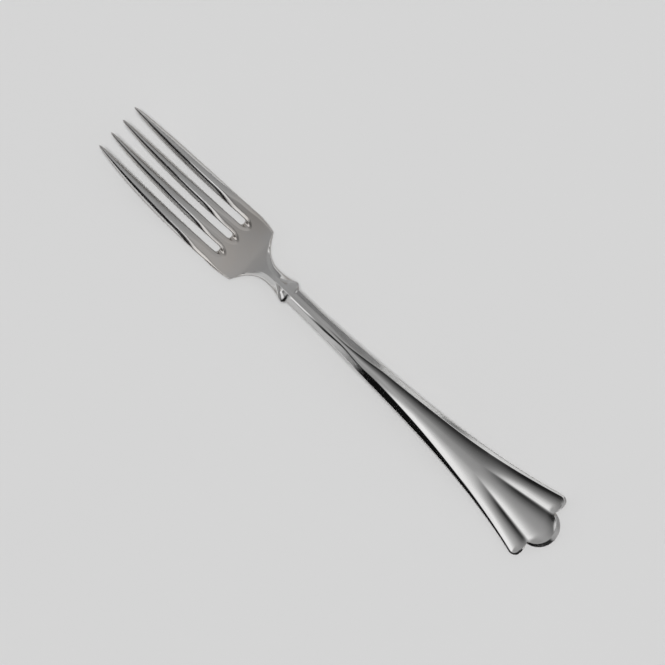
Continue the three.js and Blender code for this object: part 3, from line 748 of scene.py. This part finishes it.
def palm_region():
    """The palm's rings, the three slot ends between their first columns, and the tines' sections."""
    rings = palm_rows(PALM_ROWS)
    count, size = rings.shape[:2]
    index = np.arange(count * size).reshape(count, size)
    step = BAND_COLUMNS + END_COLUMNS
    wide = 3 * step + BAND_COLUMNS + 1
    wall = 2 * WALL_COLUMNS - 1
    top = index[0, :wide]
    under = index[0, wide + wall : 2 * wide + wall][::-1]
    points, quads = [rings.reshape(-1, 3)], [loop_quads(index)]
    walls = [index[0, 2 * wide + wall :][::-1]]
    total = count * size
    for n in range(3):
        end = slot_end(n)[:, 1:-1]
        inner = total + np.arange(end.shape[0] * end.shape[1]).reshape(end.shape[:2])
        total += inner.size
        points.append(end.reshape(-1, 3))
        across = slice(n * step + BAND_COLUMNS, (n + 1) * step + 1)
        grid = np.concatenate([top[across][None], inner.T, under[across][None]])
        quads.append(grid_quads(grid[::-1]))
        walls += [inner[0], inner[-1]]
    walls.append(index[0, wide : wide + wall])
    sections = [(index[-1][::-1], 1)]
    for n in range(4):
        band = slice(n * step, n * step + BAND_COLUMNS + 1)
        loop = np.concatenate([top[band], walls[2 * n + 1], under[band][::-1], walls[2 * n][::-1]])
        sections.append((loop, -1))
    return np.concatenate(points), np.concatenate(quads), sections, []


TINES = ["outer_left_tine", "inner_left_tine", "inner_right_tine", "outer_right_tine"]
regions = {name: tine_region(n) for n, name in enumerate(TINES)}
regions["palm"] = palm_region()
regions.update(handle_regions())

# How the turning of the skin is evened out
TURNING_PASSES = 6
TURNING_BLEND = 0.6
SAME_PLACE = 5  # decimals of a millimetre to which two vertices count as one


def shared_facts(regions):
    """Normals and turning of the whole skin: vertices of all regions that lie at one place count as one, a
    normal is the mean of the faces round it, and the turning is the mean curvature along the edges round it,
    hollow above 0 and edges below 0."""
    places = np.concatenate([part[0] for part in regions.values()])
    _, one = np.unique(np.round(places, SAME_PLACE), axis=0, return_inverse=True)
    one = one.reshape(-1)
    count = one.max() + 1
    spot = np.zeros((count, 3))
    spot[one] = places
    normal = np.zeros((count, 3))
    pairs = []
    first = 0
    for points, quads, _, fan in regions.values():
        for faces in [quads, fan]:
            if len(faces) == 0:
                continue
            f = one[first + np.asarray(faces)]
            a, b, c, d = spot[f[:, 0]], spot[f[:, 1]], spot[f[:, 2]], spot[f[:, -1]]
            face_normal = np.cross(c - a, d - b) if f.shape[1] == 4 else np.cross(b - a, c - a)
            for k in range(f.shape[1]):
                np.add.at(normal, f[:, k], face_normal)
                pairs.append(np.stack([f[:, k], f[:, (k + 1) % f.shape[1]]], axis=1))
        first += len(points)
    normal /= np.maximum(np.linalg.norm(normal, axis=1, keepdims=True), 1e-12)
    pairs = np.concatenate(pairs)
    pairs = pairs[pairs[:, 0] != pairs[:, 1]]
    pairs = np.concatenate([pairs, pairs[:, ::-1]])
    step = spot[pairs[:, 1]] - spot[pairs[:, 0]]
    length = np.linalg.norm(step, axis=1)
    bend = 2 * (normal[pairs[:, 0]] * step).sum(axis=1) / length
    weight = np.bincount(pairs[:, 0], length, count)
    turning = np.bincount(pairs[:, 0], bend, count) / weight
    near = np.bincount(pairs[:, 0], minlength=count)
    for _ in range(TURNING_PASSES):
        around = np.bincount(pairs[:, 0], turning[pairs[:, 1]], count) / near
        turning = mix(turning, around, TURNING_BLEND)
    return normal[one], turning[one]


normals, turning = shared_facts(regions)

MM = 0.001  # in metres


def placed(name, data):
    """A new object in the scene."""
    made = bpy.data.objects.new(name, data)
    scene.collection.objects.link(made)
    return made


def finished_piece(name, first, material):
    """A region's mesh in metres, counted from the fork's middle: skin faces carry the shared normals, so that
    the seams between regions don't show, and the flat sections where regions meet keep their own."""
    points, quads, sections, fan = regions[name]
    faces = [np.asarray(quads), np.asarray(fan, int).reshape(-1, 3)]
    used = np.unique(np.concatenate([f.reshape(-1) for f in faces]))
    place = np.full(len(points), -1)
    place[used] = np.arange(len(used))
    mesh = bpy.data.meshes.new("silver_" + name)
    spots = (points[used] - [END / 2, 0, 0]) * MM
    loops = [place[loop] for loop, _ in sections]
    polygons = place[faces[0]].tolist() + place[faces[1]].tolist() + [loop.tolist() for loop in loops]
    mesh.from_pydata(spots.tolist(), [], polygons)
    mesh.polygons.foreach_set("use_smooth", np.ones(len(mesh.polygons), bool))
    own = normals[first + used]
    corner = np.zeros(len(mesh.loops), int)
    mesh.loops.foreach_get("vertex_index", corner)
    corner_normals = own[corner]
    at = faces[0].size + faces[1].size
    for loop, side in sections:
        corner_normals[at : at + len(loop)] = [side, 0, 0]
        at += len(loop)
    mesh.normals_split_custom_set(corner_normals.tolist())
    for key, values in [("turning", turning[first + used]), ("upright", own[:, 2])]:
        layer = mesh.attributes.new(key, "FLOAT", "POINT")
        layer.data.foreach_set("value", values.astype(np.float32))
    mesh.materials.append(material)
    piece = placed("silver_" + name, mesh)
    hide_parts(name)
    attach(piece, "root")
    return piece


def node(tree, kind, inputs=None, **settings):
    """A shader node with its settings and inputs; an input is a value or another node's output."""
    made = tree.nodes.new("ShaderNode" + kind)
    for key, value in settings.items():
        setattr(made, key, value)
    for key, value in (inputs or {}).items():
        if isinstance(value, bpy.types.NodeSocket):
            tree.links.new(value, made.inputs[key])
        else:
            made.inputs[key].default_value = value
    return made


def empty_tree(owner):
    """The emptied node tree of a material or of the world."""
    owner.use_nodes = True
    owner.node_tree.nodes.clear()
    return owner.node_tree


def band(tree, value, low, high, to_low=0.0, to_high=1.0):
    """A value stretched smoothly from one range to another."""
    ends = {"Value": value, "From Min": low, "From Max": high, "To Min": to_low, "To Max": to_high}
    return node(tree, "MapRange", ends, interpolation_type="SMOOTHSTEP").outputs["Result"]


def math(tree, operation, a, b=0.0):
    """One arithmetic node."""
    return node(tree, "Math", {0: a, 1: b}, operation=operation).outputs[0]


def blend(tree, share, first, second):
    """A colour a share of the way from the first to the second."""
    return node(tree, "Mix", {0: share, 6: first, 7: second}, data_type="RGBA").outputs[2]


def noise(tree, place, scale, detail):
    """A soft random pattern from 0 to 1."""
    return node(tree, "TexNoise", {"Vector": place, "Scale": scale, "Detail": detail}).outputs[0]


def hairline_group():
    """Fine polishing lines: the level lines of a noise that is drawn out along one direction, thinned to
    hairs and broken up by a slower noise."""
    group = bpy.data.node_groups.new("hairlines", "ShaderNodeTree")
    for key in ["Vector", "Turn", "Spread"]:
        group.interface.new_socket(key, in_out="INPUT", socket_type="NodeSocketVector")
    group.interface.new_socket("Width", in_out="INPUT", socket_type="NodeSocketFloat")
    group.interface.new_socket("Lines", in_out="OUTPUT", socket_type="NodeSocketFloat")
    given = group.nodes.new("NodeGroupInput").outputs
    turn = {"Vector": given["Vector"], "Rotation": given["Turn"]}
    turned = node(group, "VectorRotate", turn, rotation_type="EULER_XYZ").outputs[0]
    drawn = node(group, "VectorMath", {0: turned, 1: given["Spread"]}, operation="MULTIPLY")
    level = math(group, "SUBTRACT", noise(group, drawn.outputs[0], 1.0, 2.0), 0.5)
    level = math(group, "ABSOLUTE", level)
    thinned = {"Value": level, "From Max": given["Width"], "To Min": 1.0, "To Max": 0.0}
    hair = node(group, "MapRange", thinned)
    patches = band(group, noise(group, given["Vector"], 260.0, 2.0), 0.45, 0.65)
    broken = math(group, "MULTIPLY", hair.outputs[0], patches)
    out = group.nodes.new("NodeGroupOutput")
    group.links.new(broken, out.inputs["Lines"])
    return group


# The two directions of polishing: turn, spread along and across the lines, width of a line
HAIRLINES = [
    ((0.0, 0.0, 0.12), (60.0, 2600.0, 900.0), 0.016),
    ((0.0, 0.0, 1.1), (90.0, 1900.0, 700.0), 0.009),
]

# Tints of the silver
GREY_SILVER = (0.86, 0.854, 0.848, 1)
CLEAR_SILVER = (0.91, 0.907, 0.903, 1)
YELLOWED_SILVER = (0.88, 0.82, 0.765, 1)
TARNISH = (0.42, 0.36, 0.3, 1)
WORN_EDGE = (0.96, 0.95, 0.93, 1)
# Painted shade: the colour that steep sides are darkened towards, in place of the dark they would mirror
STEEP_SIDE_PAINTED_SHADE = (0.42, 0.4, 0.38, 1)


def silver_material():
    """Polished silver: bright metal with soft clouds, yellowed on the palm, a warm tarnish in the recesses,
    brighter worn edges, painted shade on the steep sides, and hairlines in two directions that rough up and
    dent the polish."""
    material = bpy.data.materials.new("polished_silver")
    tree = empty_tree(material)
    place = node(tree, "TexCoord").outputs["Object"]
    turn = node(tree, "Attribute", attribute_name="turning").outputs["Fac"]
    upright = node(tree, "Attribute", attribute_name="upright").outputs["Fac"]
    x = node(tree, "SeparateXYZ", {0: place}).outputs[0]
    clouds = noise(tree, place, 90.0, 4.0)
    grain = noise(tree, place, 900.0, 3.0)
    lines = hairline_group()
    hairs = []
    for angle, spread, width in HAIRLINES:
        given = {"Vector": place, "Turn": angle, "Spread": spread, "Width": width}
        hairs.append(node(tree, "Group", given, node_tree=lines).outputs["Lines"])
    scratch = math(tree, "MAXIMUM", *hairs)
    recess = math(tree, "MULTIPLY", band(tree, turn, 0.03, 0.6), band(tree, clouds, 0.3, 0.62))
    worn = band(tree, turn, -0.25, -1.2)
    head = band(tree, x, -0.022, -0.04)
    palm = math(tree, "MULTIPLY", band(tree, x, -0.055, -0.042), band(tree, x, -0.026, -0.037))
    warm = math(tree, "MULTIPLY", palm, band(tree, clouds, 0.2, 0.65, 0.0, 0.8))
    tint = blend(tree, band(tree, clouds, 0.35, 0.7), GREY_SILVER, CLEAR_SILVER)
    tint = blend(tree, warm, tint, YELLOWED_SILVER)
    tint = blend(tree, math(tree, "MULTIPLY", recess, 0.55), tint, TARNISH)
    tint = blend(tree, math(tree, "MULTIPLY", worn, 0.5), tint, WORN_EDGE)
    # Painted shade: the steeper the face, the darker its tint, in place of the dark that steep sides would
    # mirror
    tint = blend(tree, band(tree, upright, 0.74, 0.48), tint, STEEP_SIDE_PAINTED_SHADE)
    rough = 0.11
    for mark, share in [(head, 0.05), (clouds, 0.05), (scratch, 0.08), (recess, 0.12)]:
        rough = math(tree, "ADD", rough, math(tree, "MULTIPLY", mark, share))
    height = math(tree, "SUBTRACT", math(tree, "MULTIPLY", grain, 0.25), scratch)
    dent = node(tree, "Bump", {"Height": height, "Strength": 0.12, "Distance": 0.00001})
    polish = {"Base Color": tint, "Metallic": 1.0, "Roughness": rough, "Normal": dent.outputs[0]}
    shader = node(tree, "BsdfPrincipled", polish)
    node(tree, "OutputMaterial", {0: shader.outputs[0]})
    return material


silver = silver_material()
start = 0
for name, region in regions.items():
    finished_piece(name, start, silver)
    start += len(region[0])

# The studio, in metres
FLOOR_HALF = 4.0
FLOOR_POINTS = 9
FLOOR_TINTS = [(0.645, 0.645, 0.645, 1), (0.655, 0.655, 0.655, 1)]


def pale_floor():
    """A wide pale sheet at the table's height, with a very faint mottle."""
    side = np.linspace(-FLOOR_HALF, FLOOR_HALF, FLOOR_POINTS)
    u, v = np.meshgrid(side, side, indexing="ij")
    spots = np.stack([u, v, np.zeros_like(u)], axis=2).reshape(-1, 3)
    index = np.arange(FLOOR_POINTS**2).reshape(FLOOR_POINTS, FLOOR_POINTS)
    mesh = bpy.data.meshes.new("pale_floor")
    mesh.from_pydata(spots.tolist(), [], grid_quads(index).tolist())
    material = bpy.data.materials.new("pale_card")
    material.use_nodes = True
    tree = material.node_tree
    shader = tree.nodes["Principled BSDF"]
    place = node(tree, "TexCoord").outputs["Object"]
    tree.links.new(blend(tree, noise(tree, place, 14.0, 3.0), *FLOOR_TINTS), shader.inputs["Base Color"])
    shader.inputs["Roughness"].default_value = 1.0
    shader.inputs["Specular IOR Level"].default_value = 0.0
    mesh.materials.append(material)
    floor = placed("pale_floor", mesh)


def stops(tree, value, marks):
    """A level read off a row of marks, each a place from -1 to 1 with its level."""
    place = node(tree, "MapRange", {"Value": value, "From Min": -1.0, "From Max": 1.0})
    ramp = node(tree, "ValToRGB", {0: place.outputs["Result"]})
    ramp.color_ramp.interpolation = "B_SPLINE"
    row = ramp.color_ramp.elements
    while len(row) < len(marks):
        row.new(0.5)
    for mark, (at, level) in zip(row, marks):
        mark.position = (at + 1) / 2
        mark.color = (level, level, level, 1)
    return ramp.outputs[0]


# The dome's levels by direction, from the eater's left to the right and from the tips' end to the fan's
LEFT_TO_RIGHT = [
    (-1, 0.0), (-0.7, 0.01), (-0.54, 0.09), (-0.31, 0.17), (-0.04, 0.32), (0.2, 0.4), (0.5, 0.32), (1, 0.28),
]
TIPS_TO_FAN = [(-0.7, 0.85), (-0.42, 1.0), (-0.17, 1.15), (0, 1.0), (1, 0.95)]
DARK_LEVEL = 0.004  # low down on the left
WALL_LEVEL = 0.16  # low down on the right
GLOW_LEVEL = 0.75  # low down between the left and the tips' end
GLOW_WAY = (-0.72, -0.65, 0.25)


def studio_world():
    """A studio by direction: grey overhead, falling off to black towards the eater's left, with darker low
    walls and one soft glow."""
    world = bpy.data.worlds.new("studio")
    tree = empty_tree(world)
    way = node(tree, "TexCoord").outputs["Generated"]
    x, y, z = node(tree, "SeparateXYZ", {0: way}).outputs
    level = math(tree, "MULTIPLY", stops(tree, y, LEFT_TO_RIGHT), stops(tree, x, TIPS_TO_FAN))
    near = node(tree, "VectorMath", {0: way, 1: GLOW_WAY}, operation="DOT_PRODUCT")
    dark = math(tree, "MULTIPLY", band(tree, z, 0.5, 0.2), band(tree, y, -0.02, -0.16))
    wall = math(tree, "MULTIPLY", band(tree, z, 0.18, 0.08), band(tree, y, 0.3, 0.6))
    glow = band(tree, near.outputs["Value"], 0.87, 0.95)
    for share, there in [(dark, DARK_LEVEL), (wall, WALL_LEVEL), (glow, GLOW_LEVEL)]:
        level = node(tree, "Mix", {0: share, 2: level, 3: there}).outputs[0]
    shine = node(tree, "Background", {"Color": level, "Strength": 1.0})
    node(tree, "OutputWorld", {0: shine.outputs[0]})
    scene.world = world


def light_card(name, corner, side, rise, fades, levels):
    """A glowing card that only the silver mirrors, given by a corner and two edges; its glow fades in from
    each edge over a share of the card's length there. Its levels are two places along the first edge and the
    brightness at each, with a smooth change between them."""
    corner, side, rise = (np.array(v) for v in (corner, side, rise))
    spots = np.stack([corner, corner + side, corner + side + rise, corner + rise])
    mesh = bpy.data.meshes.new(name)
    mesh.from_pydata(spots.tolist(), [], [[0, 1, 2, 3]])
    square = mesh.uv_layers.new(name="square")
    square.data.foreach_set("uv", np.array([0, 0, 1, 0, 1, 1, 0, 1], np.float32))
    material = bpy.data.materials.new(name + "_glow")
    tree = empty_tree(material)
    place = node(tree, "TexCoord").outputs["UV"]
    u, v, _ = node(tree, "SeparateXYZ", {0: place}).outputs
    share = 1.0
    for along, (start, end) in zip([u, v], fades):
        share = math(tree, "MULTIPLY", share, band(tree, along, 0.0, start))
        share = math(tree, "MULTIPLY", share, band(tree, along, 1.0, 1.0 - end))
    strength = band(tree, u, *levels)
    glow = node(tree, "Emission", {"Color": (1.0, 1.0, 1.0, 1.0), "Strength": strength})
    clear = node(tree, "BsdfTransparent")
    shader = node(tree, "MixShader", {0: share, 1: clear.outputs[0], 2: glow.outputs[0]})
    node(tree, "OutputMaterial", {0: shader.outputs[0]})
    mesh.materials.append(material)
    card = placed(name, mesh)
    card.visible_camera = False
    card.visible_diffuse = False
    card.visible_shadow = False


# The cards: corner, two edges, fades at both ends of each edge, levels along the first edge
CARDS = {
    "overhead_card": (
        (0.047, -0.004, 0.08), (0.09, 0, 0), (0, 0.28, 0),
        ((0.32, 0.2), (0.24, 0.15)), (0.1, 0.4, 0.7, 0.9),
    ),
    "right_card": (
        (0.0, 0.12, 0.022), (0.13, 0, 0), (0, 0, 0.024),
        ((0.15, 0.2), (0.3, 0.3)), (0, 1, 0.68, 0.68),
    ),
    "left_card": (
        (-0.051, -0.03, 0.022), (0.03, 0, 0), (0, 0, 0.04),
        ((0.12, 0.24), (0.15, 0.25)), (0, 1, 0.85, 0.85),
    ),
    "low_card": (
        (-0.058, -0.03, 0.001), (0.048, 0, 0), (0.022, 0, 0.016),
        ((0.2, 0.15), (0.1, 0.4)), (0, 1, 0.5, 0.5),
    ),
    "front_card": (
        (-0.112, -0.029, 0.03), (0.042, -0.042, 0), (0, 0, 0.04),
        ((0.25, 0.25), (0.25, 0.25)), (0, 1, 0.7, 0.7),
    ),
}


def overhead_light():
    """A wide soft light from above that lights the floor and isn't mirrored in the silver."""
    lamp = bpy.data.lights.new("overhead", "SUN")
    lamp.energy = 2.4
    lamp.angle = 0.2
    sun = placed("overhead", lamp)
    sun.rotation_euler = (-0.04, 0.0, 0.0)
    sun.visible_glossy = False


# The camera
TILT = -0.04  # from straight above, about the fork's length
ACROSS, DOWN = 0.72826, 0.68531  # the fork's direction in the picture
DISTANCE = 0.75
FIELD = 0.1875  # width of the picture at the fork
SENSOR = 36
TARGET = Vector((-0.00143, 0.00008, 0.006))


def camera_above():
    """A long lens almost straight above, turned so that the tines point to the upper left of the picture."""
    along = Vector((1, 0, 0))
    aside = Vector((0, np.cos(TILT), np.sin(TILT)))
    right = ACROSS * along + DOWN * aside
    up = -DOWN * along + ACROSS * aside
    back = right.cross(up)
    lens = bpy.data.cameras.new("above")
    lens.sensor_width = SENSOR
    lens.lens = SENSOR * DISTANCE / FIELD
    camera = placed("above", lens)
    turn = Matrix((right, up, back)).transposed().to_4x4()
    camera.matrix_world = Matrix.Translation(TARGET + back * DISTANCE) @ turn
    scene.camera = camera


pale_floor()
studio_world()
overhead_light()
for name, card in CARDS.items():
    light_card(name, *card)
camera_above()
scene.view_settings.view_transform = "Standard"
